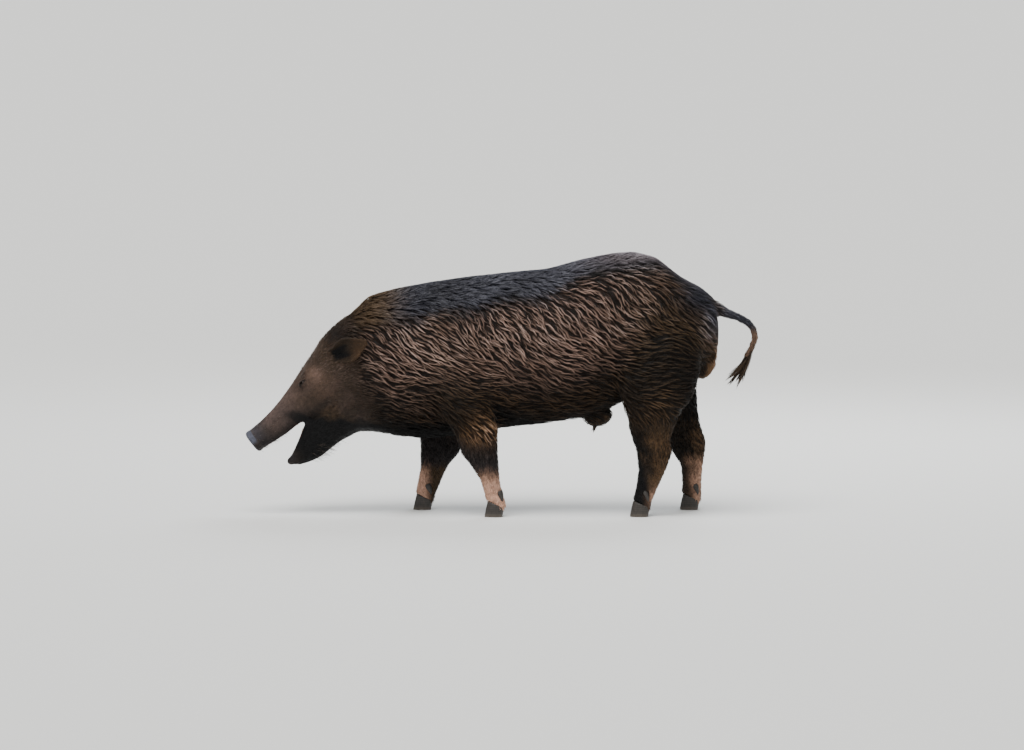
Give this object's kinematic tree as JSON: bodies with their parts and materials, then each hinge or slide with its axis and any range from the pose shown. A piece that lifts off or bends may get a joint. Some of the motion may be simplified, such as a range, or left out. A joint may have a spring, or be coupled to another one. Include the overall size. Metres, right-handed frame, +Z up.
{
  "type": "wild boar",
  "caption": "Still, life-size model of a male wild boar with a wet dark coat, standing mid-stride with its head low, mouth open and tail curled behind.",
  "frame": {"origin": "on the floor, under the middle of the boar's bounding box", "axes": "+Z up, -Y the way the snout points, +X the boar's left side"},
  "size_m": [0.274, 1.3586, 0.6948],
  "materials": {
    "coat": "wet dark bristles, blue-black along the back, red-brown on the flanks",
    "skin": "thinly haired brown-pink skin, damp",
    "nose": "bare, moist grey nose skin",
    "hoof": "dark worn horn",
    "eye": "wet dark brown eye",
    "mouth": "wet pink tongue and gums",
    "tooth": "yellowed enamel"
  },
  "bodies": {
    "root": {"foreleg_left_upper": "coat", "foreleg_left_lower": "coat", "foreleg_left_foot": "skin", "foreleg_left_claw_right": "hoof", "foreleg_left_dewclaw_right": "hoof", "foreleg_left_claw_left": "hoof", "foreleg_left_dewclaw_left": "hoof", "foreleg_right_upper": "coat", "foreleg_right_lower": "coat", "foreleg_right_foot": "skin", "foreleg_right_claw_right": "hoof", "foreleg_right_dewclaw_right": "hoof", "foreleg_right_claw_left": "hoof", "foreleg_right_dewclaw_left": "hoof", "hindleg_left_upper": "coat", "hindleg_left_lower": "coat", "hindleg_left_foot": "skin", "hindleg_left_claw_right": "hoof", "hindleg_left_dewclaw_right": "hoof", "hindleg_left_claw_left": "hoof", "hindleg_left_dewclaw_left": "hoof", "hindleg_right_upper": "coat", "hindleg_right_lower": "coat", "hindleg_right_foot": "skin", "hindleg_right_claw_right": "hoof", "hindleg_right_dewclaw_right": "hoof", "hindleg_right_claw_left": "hoof", "hindleg_right_dewclaw_left": "hoof", "neck": "coat", "chest": "coat", "barrel": "coat", "rump": "coat", "head": "coat", "snout": "skin", "snout_disc": "nose", "lower_jaw": "coat", "tongue": "mouth", "eye_left": "eye", "eye_right": "eye", "ear_left": "coat", "ear_right": "coat", "tail_root": "coat", "tail_curl": "coat", "tail_tuft": "coat", "sheath": "skin", "scrotum": "skin"}
  },
  "joints": []
}
